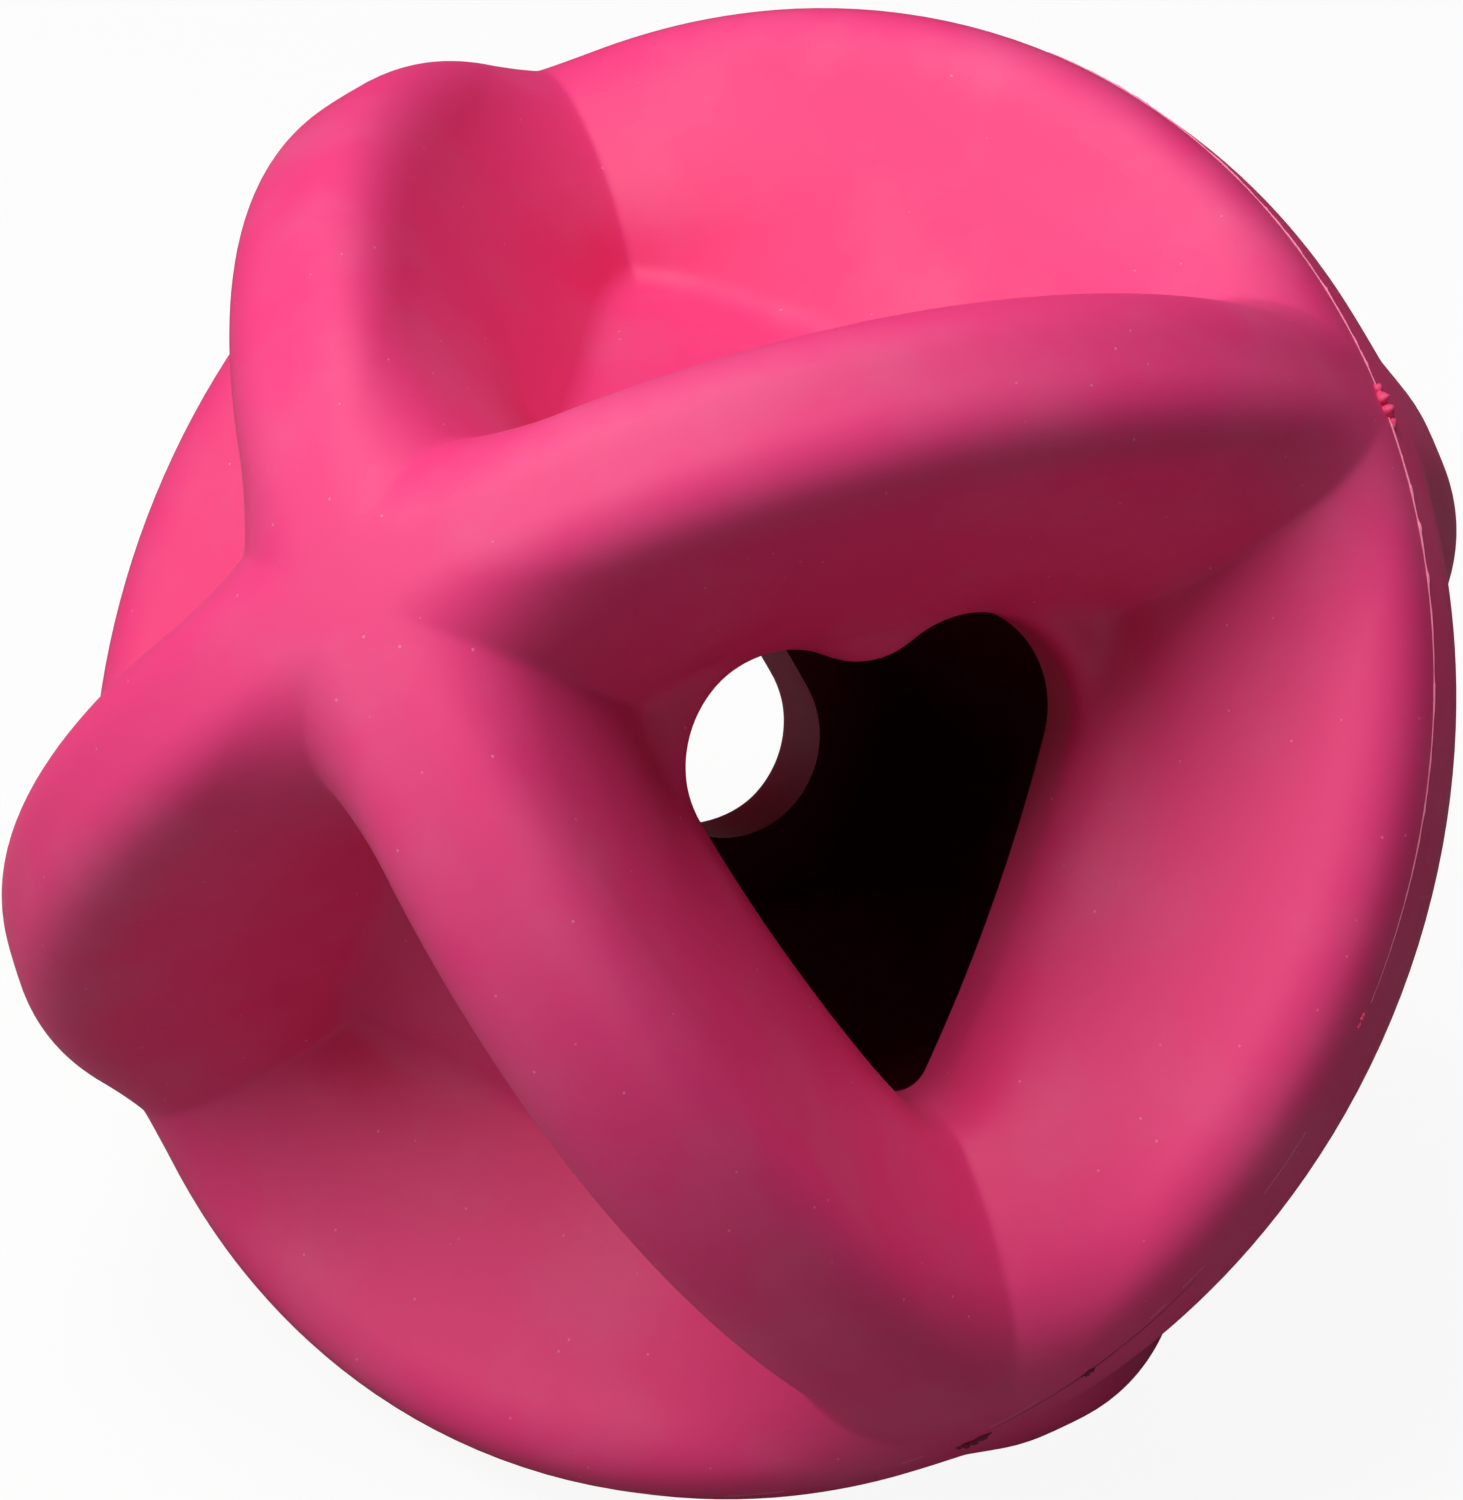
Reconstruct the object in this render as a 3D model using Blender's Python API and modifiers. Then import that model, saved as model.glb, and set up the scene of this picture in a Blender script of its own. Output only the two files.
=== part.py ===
"""Treat dispensing dog ball: a hollow natural rubber ball of three crossed ribs.

Three ribs run round the ball on great circles that cross square to each other, so
they meet at six hubs and leave eight three-cornered pockets. The pockets have flat
floors, which close a hollow middle. Two opposite pockets are cut through by a heart
shaped opening, as wide as the floor. The ball is moulded as two half shells, bonded
at a flat seam along the middle of one rib.

Mould axes, used to make the parts: X is square to the seam, Y and Z run through the
other hubs. The front heart opening looks along (1, 1, 1) there. World axes: the ball
lies at rest on the rims of one pocket, the front opening looks towards -Y, and the
origin is the centre of the ball. All lengths are in metres.
"""

import itertools
import math

import bmesh
import bpy
from mathutils import Matrix, Vector

# Ball and the ribs between its pockets
BALL_RADIUS = 0.0400
RIB_HALF_WIDTH = 0.0047
RIB_DRAFT = math.radians(1.0)
CROWN_ROUNDING = 0.0037

# Rounding of a pocket's corners, which grows with the depth up to a limit and then
# falls again, to be back at its first value at the end depth
CORNER_ROUNDING = 0.0022
CORNER_GROWTH = 1.13
CORNER_LIMIT = 0.0084
CORNER_END = 0.0160

# Flat floor of a pocket, and the least wall between it and the hollow middle
FLOOR_DISTANCE = 0.0210
FLOOR_WALL = 0.0024

# Heart shaped opening, measured square to its own axis
LOBE_RADIUS = 0.0054
LOBE_SPREAD = 0.0053
LOBE_RISE = 0.0028
NOTCH_FILLET = 0.0043
SIDE_RADIUS = 0.0660
TIP_RADIUS = 0.0009
TIP_DROP = 0.0156

# Seam between the two half shells
BOND_THICKNESS = 0.0005
SEAM_CLEARANCE = 0.0003
FLASH_HEIGHT = 0.0002

# Facets
RING_SEGMENTS = 72
SPHERE_SEGMENTS = 64
CAVITY_SEGMENTS = 40
SIDE_STEPS = 16
SIDE_CROWDING = 0.5
ROUNDING_STEPS = 3
WALL_STEPS = 6
ARC_STEPS = {"notch": 3, "lobe": 10, "side": 4, "tip": 3}

# Chamfer at a crown's edge, as shares of the rounding: where it starts, where it ends
CHAMFER_DEPTH = 0.16
CHAMFER_LIMIT = 0.80

# Spare length of a cutter past what it cuts
OVERSHOOT = 0.0020

# Sides and tip of a pocket's cutter, as shares of the ball's radius
POCKET_REACH = 1.3
POCKET_TIP = 2.0

# Points nearer to each other than this are one point
MERGE_DISTANCE = 0.000005

PINK = (0.80, 0.06, 0.22, 1.0)
SEAM_PINK = (0.84, 0.10, 0.28, 1.0)
RUBBER_ROUGHNESS = 0.62


def make_collection(name):
    """Return a new collection linked under the scene."""
    collection = bpy.data.collections.new(name)
    bpy.context.scene.collection.children.link(collection)
    return collection


def make_material(name, colour):
    """Return a matte rubber material of one colour."""
    material = bpy.data.materials.new(name)
    material.use_nodes = True
    shader = material.node_tree.nodes["Principled BSDF"]
    shader.inputs["Base Color"].default_value = colour
    shader.inputs["Roughness"].default_value = RUBBER_ROUGHNESS
    shader.inputs["Metallic"].default_value = 0.0
    material.diffuse_color = colour
    return material


def link_mesh(name, mesh, collection):
    """Return a new object that shows the mesh, in the collection."""
    obj = bpy.data.objects.new(name, mesh)
    collection.objects.link(obj)
    return obj


def guide(name, mesh, collection):
    """Return an object that only helps to shape others."""
    obj = link_mesh(name, mesh, collection)
    obj.hide_render = True
    obj.display_type = "WIRE"
    return obj


def sphere_mesh(name, radius, segments):
    """Return a closed sphere about the origin, with its poles on the openings' axis.

    There the openings cut the poles away, and no facet lines up with a rib's.
    """
    mesh = bpy.data.meshes.new(name)
    bm = bmesh.new()
    front, _ = opening_frames()
    bmesh.ops.create_uvsphere(
        bm, u_segments=segments, v_segments=segments // 2, radius=radius, matrix=front
    )
    bm.to_mesh(mesh)
    bm.free()
    return mesh


def turned_mesh(name, profile, segments):
    """Return the closed loop of (radius, height) points turned round the Z axis.

    The loop runs down its outer side, so that the faces point outwards.
    """
    loop = bpy.data.meshes.new(name + "_profile")
    points = [(radius, 0.0, height) for radius, height in profile]
    edges = [(i, (i + 1) % len(points)) for i in range(len(points))]
    loop.from_pydata(points, edges, [])
    turned = bpy.data.objects.new(name + "_turned", loop)
    bpy.context.scene.collection.objects.link(turned)
    screw = turned.modifiers.new("turn", "SCREW")
    screw.axis = "Z"
    screw.angle = 2.0 * math.pi
    screw.steps = segments
    screw.render_steps = segments
    screw.use_merge_vertices = True
    screw.merge_threshold = 0.00001
    graph = bpy.context.evaluated_depsgraph_get()
    mesh = bpy.data.meshes.new_from_object(turned.evaluated_get(graph))
    mesh.name = name
    bpy.data.objects.remove(turned)
    return mesh


def smooth_min(first, second, blend):
    """Return the smaller value, rounded off where the two differ by less than blend."""
    overlap = max(blend - abs(first - second), 0.0)
    return min(first, second) - overlap**2 / (4.0 * blend)


def rib_half_width(depth):
    """Return half of a rib's width at a depth below the ball's outside.

    The wall leans by the draft. Above it, the crown's edge is rounded off by a
    parabola, which ends in a straight chamfer that is drawn on past the ball.
    """
    wall = RIB_HALF_WIDTH + depth * math.tan(RIB_DRAFT)
    if depth >= CROWN_ROUNDING:
        return wall
    run = max(depth, CHAMFER_DEPTH * CROWN_ROUNDING)
    edge = (math.sqrt(CROWN_ROUNDING) - math.sqrt(run)) ** 2
    slope = math.sqrt(CROWN_ROUNDING / run) - 1.0
    chamfer = edge + slope * (run - depth)
    return wall - min(chamfer, CHAMFER_LIMIT * CROWN_ROUNDING)


def corner_rounding(depth):
    """Return the rounding of a pocket's corners at a depth below the ball's outside."""
    run = max(min(depth, CORNER_END - depth), 0.0)
    return min(CORNER_ROUNDING + CORNER_GROWTH * run, CORNER_LIMIT)


def wall_angle(heading, distance):
    """Return the angle from a pocket's axis at which its wall is met, by bisection.

    The heading runs square to the axis, and the distance is from the ball's centre.
    The way left to each of the three ribs is the place along the mould's axis less the
    rib's half width. A smooth minimum of the three rounds the pocket's corners.
    """
    out = Vector((1.0, 1.0, 1.0)).normalized()
    depth = BALL_RADIUS - distance
    half_width = rib_half_width(depth)
    blend = corner_rounding(depth)
    low, high = 0.0, math.pi / 2.0
    for _ in range(40):
        angle = (low + high) / 2.0
        point = (out * math.cos(angle) + heading * math.sin(angle)) * distance
        near, middle, far = sorted(place - half_width for place in point)
        gap = smooth_min(smooth_min(near, middle, blend), far, blend)
        low, high = (angle, high) if gap > 0.0 else (low, angle)
    return (low + high) / 2.0


def pocket_headings():
    """Return directions square to a pocket's axis, crowded towards its three corners.

    They follow points on the great circles between the hubs, which run anticlockwise
    seen from outside.
    """
    out = Vector((1.0, 1.0, 1.0)).normalized()
    hubs = [Vector((0.0, 0.0, 1.0)), Vector((1.0, 0.0, 0.0)), Vector((0.0, 1.0, 0.0))]
    headings = []
    for start, end in zip(hubs, hubs[1:] + hubs[:1]):
        for step in range(SIDE_STEPS):
            share = step / SIDE_STEPS
            bend = SIDE_CROWDING / (2.0 * math.pi) * math.sin(2.0 * math.pi * share)
            turn = math.pi / 2.0 * (share - bend)
            point = start * math.cos(turn) + end * math.sin(turn)
            headings.append((point - out * point.dot(out)).normalized())
    return headings


def pocket_distances():
    """Return the distances from the centre of a pocket's sections, from the floor out."""
    shoulder = BALL_RADIUS - CROWN_ROUNDING
    deep = FLOOR_DISTANCE * 0.9
    walls = [deep + (shoulder - deep) * i / WALL_STEPS for i in range(WALL_STEPS)]
    start = math.sqrt(CHAMFER_DEPTH)
    shares = [1.0 - (1.0 - start) * i / ROUNDING_STEPS for i in range(ROUNDING_STEPS + 1)]
    rounding = [BALL_RADIUS - CROWN_ROUNDING * share**2 for share in shares]
    slope = 1.0 / start - 1.0
    rise = ((CHAMFER_LIMIT - (1.0 - start) ** 2) / slope - CHAMFER_DEPTH) * CROWN_ROUNDING
    return walls + rounding + [BALL_RADIUS + rise, BALL_RADIUS * POCKET_REACH]


def one_pocket_cutter():
    """Return the cutter of the pocket in the first octant, from its floor outwards."""
    out = Vector((1.0, 1.0, 1.0)).normalized()
    headings = pocket_headings()
    bm = bmesh.new()
    rings = []
    for distance in pocket_distances():
        angles = [wall_angle(heading, distance) for heading in headings]
        points = [
            (out * math.cos(angle) + heading * math.sin(angle)) * distance
            for angle, heading in zip(angles, headings)
        ]
        rings.append([bm.verts.new(point) for point in points])
    join_rings(bm, rings)
    bmesh.ops.poke(bm, faces=[bm.faces[-1]], offset=0.0)
    bm.verts.ensure_lookup_table()
    bm.verts[-1].co = out * BALL_RADIUS * POCKET_TIP
    whole = bm.verts[:] + bm.edges[:] + bm.faces[:]
    cut = bmesh.ops.bisect_plane(
        bm, geom=whole, dist=0.0000001, plane_co=out * FLOOR_DISTANCE, plane_no=out, clear_inner=True
    )
    edges = [item for item in cut["geom_cut"] if isinstance(item, bmesh.types.BMEdge)]
    bmesh.ops.contextual_create(bm, geom=edges)
    bmesh.ops.triangulate(bm, faces=[f for f in bm.faces if len(f.verts) > 4])
    mesh = bpy.data.meshes.new("pocket_cutter")
    bm.to_mesh(mesh)
    bm.free()
    return mesh


def pocket_cutters_mesh():
    """Return the eight pockets' cutters, which are mirror images of one."""
    first = one_pocket_cutter()
    bm = bmesh.new()
    for x, y, z in itertools.product((1.0, -1.0), repeat=3):
        mirrored = first.copy()
        mirrored.transform(Matrix.Diagonal((x, y, z, 1.0)))
        bm.from_mesh(mirrored)
    bmesh.ops.recalc_face_normals(bm, faces=bm.faces)
    mesh = bpy.data.meshes.new("pocket_cutters")
    bm.to_mesh(mesh)
    bm.free()
    return mesh


def arc(centre, radius, start, end, steps):
    """Return the points of an arc, both ends included, from angle start to angle end."""
    angles = [start + (end - start) * i / steps for i in range(steps + 1)]
    return [
        (centre[0] + radius * math.cos(angle), centre[1] + radius * math.sin(angle))
        for angle in angles
    ]


def heart_outline():
    """Return the heart's outline, anticlockwise from the notch.

    Each half is four arcs that meet tangent to each other: the notch's fillet, the
    lobe, a long side that bulges a little, and the tip.
    """
    lobe = (-LOBE_SPREAD, LOBE_RISE)
    tip = (0.0, -TIP_DROP + TIP_RADIUS)
    rise = math.sqrt((LOBE_RADIUS + NOTCH_FILLET) ** 2 - LOBE_SPREAD**2)
    lobe_to_notch = math.atan2(rise, LOBE_SPREAD)
    notch = (0.0, LOBE_RISE + rise)
    side = side_centre(lobe, tip)
    lobe_end = math.atan2(lobe[1] - side[1], lobe[0] - side[0]) % (2.0 * math.pi)
    tip_start = math.atan2(tip[1] - side[1], tip[0] - side[0]) % (2.0 * math.pi)
    left = arc(notch, NOTCH_FILLET, -0.5 * math.pi, lobe_to_notch - math.pi, ARC_STEPS["notch"])
    left += arc(lobe, LOBE_RADIUS, lobe_to_notch, lobe_end, ARC_STEPS["lobe"])[1:]
    left += arc(side, SIDE_RADIUS, lobe_end, tip_start, ARC_STEPS["side"])[1:]
    left += arc(tip, TIP_RADIUS, tip_start, 1.5 * math.pi, ARC_STEPS["tip"])[1:]
    right = [(-x, y) for x, y in reversed(left[1:-1])]
    return left + right


def side_centre(lobe, tip):
    """Return the centre of the side's arc, which touches the lobe and the tip inside it."""
    to_lobe = SIDE_RADIUS - LOBE_RADIUS
    to_tip = SIDE_RADIUS - TIP_RADIUS
    span = math.hypot(tip[0] - lobe[0], tip[1] - lobe[1])
    along = (to_lobe**2 - to_tip**2 + span**2) / (2.0 * span)
    across = math.sqrt(to_lobe**2 - along**2)
    run = ((tip[0] - lobe[0]) / span, (tip[1] - lobe[1]) / span)
    return (
        lobe[0] + run[0] * along - run[1] * across,
        lobe[1] + run[1] * along + run[0] * across,
    )


def join_rings(bm, rings):
    """Join rings of equally many points into a closed body."""
    count = len(rings[0])
    for lower, upper in zip(rings, rings[1:]):
        for i in range(count):
            j = (i + 1) % count
            bm.faces.new((lower[i], lower[j], upper[j], upper[i]))
    bm.faces.new(list(reversed(rings[0])))
    bm.faces.new(rings[-1])
    bm.faces.ensure_lookup_table()


def heart_cutter_mesh():
    """Return the opening's straight cutter along +Z."""
    bm = bmesh.new()
    outline = heart_outline()
    rings = [
        [bm.verts.new((x, y, height)) for x, y in outline]
        for height in (0.0, BALL_RADIUS + OVERSHOOT)
    ]
    join_rings(bm, rings)
    bmesh.ops.triangulate(bm, faces=[f for f in bm.faces if len(f.verts) > 4])
    bmesh.ops.recalc_face_normals(bm, faces=bm.faces)
    mesh = bpy.data.meshes.new("heart_cutter")
    bm.to_mesh(mesh)
    bm.free()
    return mesh


def apply_boolean(obj, operation, tool):
    """Cut or join the object by the tool, and keep the result as its mesh.

    The pockets graze the ball's outside and the opening's sides along long shallow
    lines, where the exact solver can leave the body open. So the manifold one is used.
    """
    boolean = obj.modifiers.new(operation.lower(), "BOOLEAN")
    boolean.operation = operation
    boolean.solver = "MANIFOLD"
    boolean.object = tool
    graph = bpy.context.evaluated_depsgraph_get()
    mesh = bpy.data.meshes.new_from_object(obj.evaluated_get(graph))
    obj.modifiers.clear()
    obj.data = mesh


def mould_to_world():
    """Return the turn from the mould's axes to the attitude in which the ball rests."""
    up = Vector((1.0, -1.0, 1.0)).normalized()
    right = Vector((-1.0, 0.0, 1.0)).normalized()
    back = up.cross(right)
    return Matrix((right, back, up)).to_4x4()


def opening_frames():
    """Return the turns that point a cutter along the front and the rear opening."""
    out = Vector((1.0, 1.0, 1.0)).normalized()
    right = Vector((-1.0, 0.0, 1.0)).normalized()
    up = out.cross(right)
    front = Matrix((right, up, out)).transposed().to_4x4()
    return front, front @ Matrix.Rotation(math.pi, 4, "X")


def make_whole_ball(cutters):
    """Return the whole moulding as one guide body, before it is parted at the seam."""
    ball = guide("whole_ball", sphere_mesh("ball", BALL_RADIUS, SPHERE_SEGMENTS), cutters)
    pockets = guide("pockets", pocket_cutters_mesh(), cutters)
    hollow_radius = FLOOR_DISTANCE - FLOOR_WALL
    hollow = guide("hollow", sphere_mesh("hollow", hollow_radius, CAVITY_SEGMENTS), cutters)
    bpy.context.view_layer.update()
    apply_boolean(ball, "DIFFERENCE", pockets)
    for name, frame in zip(("front_heart", "rear_heart"), opening_frames()):
        heart = guide(name, heart_cutter_mesh(), cutters)
        heart.matrix_world = frame
        bpy.context.view_layer.update()
        apply_boolean(ball, "DIFFERENCE", heart)
    apply_boolean(ball, "DIFFERENCE", hollow)
    return ball


def half_space(name, side, cutters):
    """Return a block that keeps one side of the ball, clear of the seam's bond."""
    reach = BALL_RADIUS + OVERSHOOT
    face = BOND_THICKNESS / 2.0 + SEAM_CLEARANCE
    mesh = bpy.data.meshes.new(name)
    bm = bmesh.new()
    bmesh.ops.create_cube(bm, size=1.0)
    scale = Vector((reach - face, 2.0 * reach, 2.0 * reach))
    bmesh.ops.scale(bm, vec=scale, verts=bm.verts)
    bmesh.ops.translate(bm, vec=(side * (reach + face) / 2.0, 0.0, 0.0), verts=bm.verts)
    bm.to_mesh(mesh)
    bm.free()
    return guide(name, mesh, cutters)


def finish(obj, material):
    """Shade the piece, give it its material and lay it in its rest attitude."""
    bm = bmesh.new()
    bm.from_mesh(obj.data)
    bmesh.ops.remove_doubles(bm, verts=bm.verts, dist=MERGE_DISTANCE)
    bmesh.ops.dissolve_degenerate(bm, edges=bm.edges, dist=MERGE_DISTANCE)
    bm.to_mesh(obj.data)
    bm.free()
    obj.data.materials.clear()
    obj.data.materials.append(material)
    obj.data.shade_smooth()
    obj.data.set_sharp_from_angle(angle=math.radians(35.0))
    obj.matrix_world = mould_to_world()


def make_half_shells(parts, cutters):
    """Make the two half shells, the ball parted along the middle of one rib."""
    ball = make_whole_ball(cutters)
    rubber = make_material("moulded_rubber", PINK)
    for name, side in (("front_half_shell", 1.0), ("rear_half_shell", -1.0)):
        half = link_mesh(name, ball.data.copy(), parts)
        block = half_space(name + "_block", side, cutters)
        bpy.context.view_layer.update()
        apply_boolean(half, "INTERSECT", block)
        finish(half, rubber)


def make_seam_bond(parts):
    """Make the bonded joint's ring, whose rim stands out as a thin line of flash."""
    half = BOND_THICKNESS / 2.0
    inner = FLOOR_DISTANCE - FLOOR_WALL
    profile = [
        (inner, half),
        (BALL_RADIUS - half, half),
        (BALL_RADIUS + FLASH_HEIGHT, half / 2.0),
        (BALL_RADIUS + FLASH_HEIGHT, -half / 2.0),
        (BALL_RADIUS - half, -half),
        (inner, -half),
    ]
    mesh = turned_mesh("seam_bond", profile, RING_SEGMENTS)
    mesh.transform(Matrix.Rotation(math.pi / 2.0, 4, "Y"))
    ring = link_mesh("seam_bond_ring", mesh, parts)
    finish(ring, make_material("rubber_bond", SEAM_PINK))


def main():
    """Clear the scene and build the ball."""
    for obj in list(bpy.data.objects):
        bpy.data.objects.remove(obj)
    parts = make_collection("treat_ball")
    cutters = make_collection("treat_ball_cutters")
    make_half_shells(parts, cutters)
    make_seam_bond(parts)


main()
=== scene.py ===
"""Looks of a treat dispensing dog ball: moulded pink natural rubber in a plain studio.

The ball is three ribs on great circles that cross square to each other, over a hollow
inner shell. Two opposite pockets are cut through by a heart shaped opening. Shapes are
worked out in the mould's axes, as in the part: X is square to the seam, and the front
opening looks along (1, 1, 1). They are turned to the ball's rest attitude at the end.
"""

import logging
import math
from dataclasses import dataclass, field
from enum import Enum

import bpy
import numpy as np
from mathutils import Matrix, Vector


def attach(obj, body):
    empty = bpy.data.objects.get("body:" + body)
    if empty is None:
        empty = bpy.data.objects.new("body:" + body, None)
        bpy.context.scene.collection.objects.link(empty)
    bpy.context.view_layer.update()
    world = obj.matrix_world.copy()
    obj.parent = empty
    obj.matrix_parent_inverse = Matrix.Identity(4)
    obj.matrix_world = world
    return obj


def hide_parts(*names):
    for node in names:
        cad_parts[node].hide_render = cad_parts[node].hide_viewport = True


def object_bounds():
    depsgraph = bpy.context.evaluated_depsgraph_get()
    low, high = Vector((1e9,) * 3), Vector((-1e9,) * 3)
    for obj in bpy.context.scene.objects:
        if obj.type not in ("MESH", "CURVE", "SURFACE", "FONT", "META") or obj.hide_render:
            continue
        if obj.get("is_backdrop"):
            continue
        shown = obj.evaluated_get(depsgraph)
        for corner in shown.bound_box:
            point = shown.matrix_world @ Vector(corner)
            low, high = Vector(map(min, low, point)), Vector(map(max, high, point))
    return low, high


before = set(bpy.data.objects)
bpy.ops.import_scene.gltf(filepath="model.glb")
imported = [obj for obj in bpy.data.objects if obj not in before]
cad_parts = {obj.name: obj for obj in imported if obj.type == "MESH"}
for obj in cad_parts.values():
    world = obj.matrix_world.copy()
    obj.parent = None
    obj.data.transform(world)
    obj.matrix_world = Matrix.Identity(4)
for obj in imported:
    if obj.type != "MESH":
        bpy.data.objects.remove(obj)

LOG = logging.getLogger("treat_ball")
MM = 0.001
BODY = "root"
WHITE = (1.0, 1.0, 1.0, 1.0)

# Points that lie closer than this are one point.
WELD = 0.001 * MM

# A body's points, and its faces as arrays of point numbers.
Body = tuple[np.ndarray, list[np.ndarray]]


class Side(Enum):
    """The two moulded halves, by the sign of the mould's X axis."""

    FRONT = 1.0
    REAR = -1.0


class Pocket(Enum):
    """The two kinds of pocket between the ribs."""

    CLOSED = "closed"
    HEART = "heart"


def smooth_max(first: np.ndarray, second: np.ndarray, blend: float) -> np.ndarray:
    """Return the larger of two fields, rounded where they differ by less than blend.

    Args:
        first: One field.
        second: The other field.
        blend: Width of the rounded zone, in the fields' own unit.

    Returns:
        The larger value, plus a parabola that is highest where the fields are equal.
    """
    overlap = np.maximum(blend - np.abs(first - second), 0.0)
    return np.maximum(first, second) + overlap**2 / (4.0 * blend)


def smooth_min(first: np.ndarray, second: np.ndarray, blend: float) -> np.ndarray:
    """Return the smaller of two fields, rounded as smooth_max rounds the larger."""
    return -smooth_max(-first, -second, blend)


@dataclass
class RibSection:
    """Section of a rib: a crown on the ball's outside, rounded edges and upright walls."""

    half_width: float = 4.70 * MM
    draft: float = math.radians(1.0)
    crown_rounding: float = 3.75 * MM

    def wall(self, depth: np.ndarray) -> np.ndarray:
        """Return the wall's distance from the rib's mid plane at a depth in the ball."""
        return self.half_width + np.maximum(depth, 0.0) * math.tan(self.draft)


@dataclass
class CornerFlare:
    """How the ribs widen towards a pocket's corners, where their walls meet in a crease."""

    first: float = 0.5 * MM
    growth: float = 0.26
    limit: float = 1.9 * MM
    end_depth: float = 16.0 * MM
    settling: float = 0.6 * MM
    share: float = 0.5

    def widening(self, depth: np.ndarray, gap: np.ndarray) -> np.ndarray:
        """Return how much wider the nearest rib is than its plain wall.

        At the crease it is the rise for that depth. It falls to nothing as a parabola,
        over a reach that gives it a slope of half the share at the crease.

        Args:
            depth: Depth below the ball's outside, in metres.
            gap: How much farther the second rib is than the nearest one.

        Returns:
            The widening in metres.
        """
        run = np.maximum(np.minimum(depth, self.end_depth - depth), 0.0)
        rise = smooth_min(self.first + self.growth * run, np.full_like(run, self.limit), self.settling)
        reach = 4.0 * rise / self.share
        return self.share * np.maximum(reach - gap, 0.0) ** 2 / (4.0 * reach)


@dataclass
class HeartOpening:
    """Heart shaped opening, in metres square to its axis: arcs that meet tangent."""

    lobe_radius: float = 5.49 * MM
    lobe_spread: float = 5.13 * MM
    lobe_rise: float = 3.14 * MM
    notch_fillet: float = 4.45 * MM
    side_radius: float = 89.5 * MM
    tip_radius: float = 1.80 * MM
    tip_drop: float = 15.77 * MM
    lip_blend: float = 1.47 * MM
    halvings: int = 40

    def centres(self) -> dict[str, np.ndarray]:
        """Return the centres of the right half's arcs, as (across, up) points."""
        lobe = np.array([self.lobe_spread, self.lobe_rise])
        tip = np.array([0.0, self.tip_radius - self.tip_drop])
        reach = self.lobe_radius + self.notch_fillet
        notch = np.array([0.0, self.lobe_rise + math.sqrt(reach**2 - self.lobe_spread**2)])
        to_lobe = self.side_radius - self.lobe_radius
        to_tip = self.side_radius - self.tip_radius
        span = float(np.linalg.norm(tip - lobe))
        along = (to_lobe**2 - to_tip**2 + span**2) / (2.0 * span)
        across = math.sqrt(to_lobe**2 - along**2)
        run = (tip - lobe) / span
        side = lobe + run * along + np.array([run[1], -run[0]]) * across
        return {"lobe": lobe, "tip": tip, "notch": notch, "side": side}

    def distance(self, across: np.ndarray, up: np.ndarray) -> np.ndarray:
        """Return the distance from the heart's outline, negative inside it.

        Each point belongs to the arc whose sector it lies in, seen from that arc's
        centre: the side's sector lies between its two tangent points, the lobe and the
        notch lie above it and the tip below it.

        Args:
            across: Place across the opening, in metres.
            up: Place along the heart's height, in metres.

        Returns:
            Signed distance in metres.
        """
        centre = self.centres()
        x, y = np.abs(across), up

        def polar(name: str) -> tuple[np.ndarray, np.ndarray]:
            """Return the distance and angle of the points from an arc's centre."""
            dx, dy = x - centre[name][0], y - centre[name][1]
            return np.hypot(dx, dy), np.arctan2(dy, dx)

        def heading(start: str, end: str) -> float:
            """Return the angle at which one arc's centre sees another's."""
            step = centre[end] - centre[start]
            return math.atan2(step[1], step[0])

        side_far, side_turn = polar("side")
        lobe_far, _ = polar("lobe")
        tip_far, _ = polar("tip")
        notch_far, notch_turn = polar("notch")
        straight_down = -math.pi / 2.0 - 1e-6
        in_notch = (notch_turn < heading("notch", "lobe")) & (notch_turn > straight_down)
        above = side_turn > heading("side", "lobe")
        below = side_turn < heading("side", "tip")
        near_lobe = np.where(
            in_notch & (notch_far < self.notch_fillet + self.lobe_radius),
            self.notch_fillet - notch_far,
            lobe_far - self.lobe_radius,
        )
        near_side = side_far - self.side_radius
        return np.where(above, near_lobe, np.where(below, tip_far - self.tip_radius, near_side))

    def reach(self, turn: np.ndarray) -> np.ndarray:
        """Return the outline's distance from the axis in each direction, by bisection.

        Args:
            turn: Angles round the opening's axis, from its across direction.

        Returns:
            The distance in metres, for each angle.
        """
        low = np.zeros_like(turn)
        high = np.full_like(turn, 1.5 * self.tip_drop)
        for _ in range(self.halvings):
            middle = (low + high) / 2.0
            inside = self.distance(middle * np.cos(turn), middle * np.sin(turn)) < 0.0
            low, high = np.where(inside, middle, low), np.where(inside, high, middle)
        return (low + high) / 2.0


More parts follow.
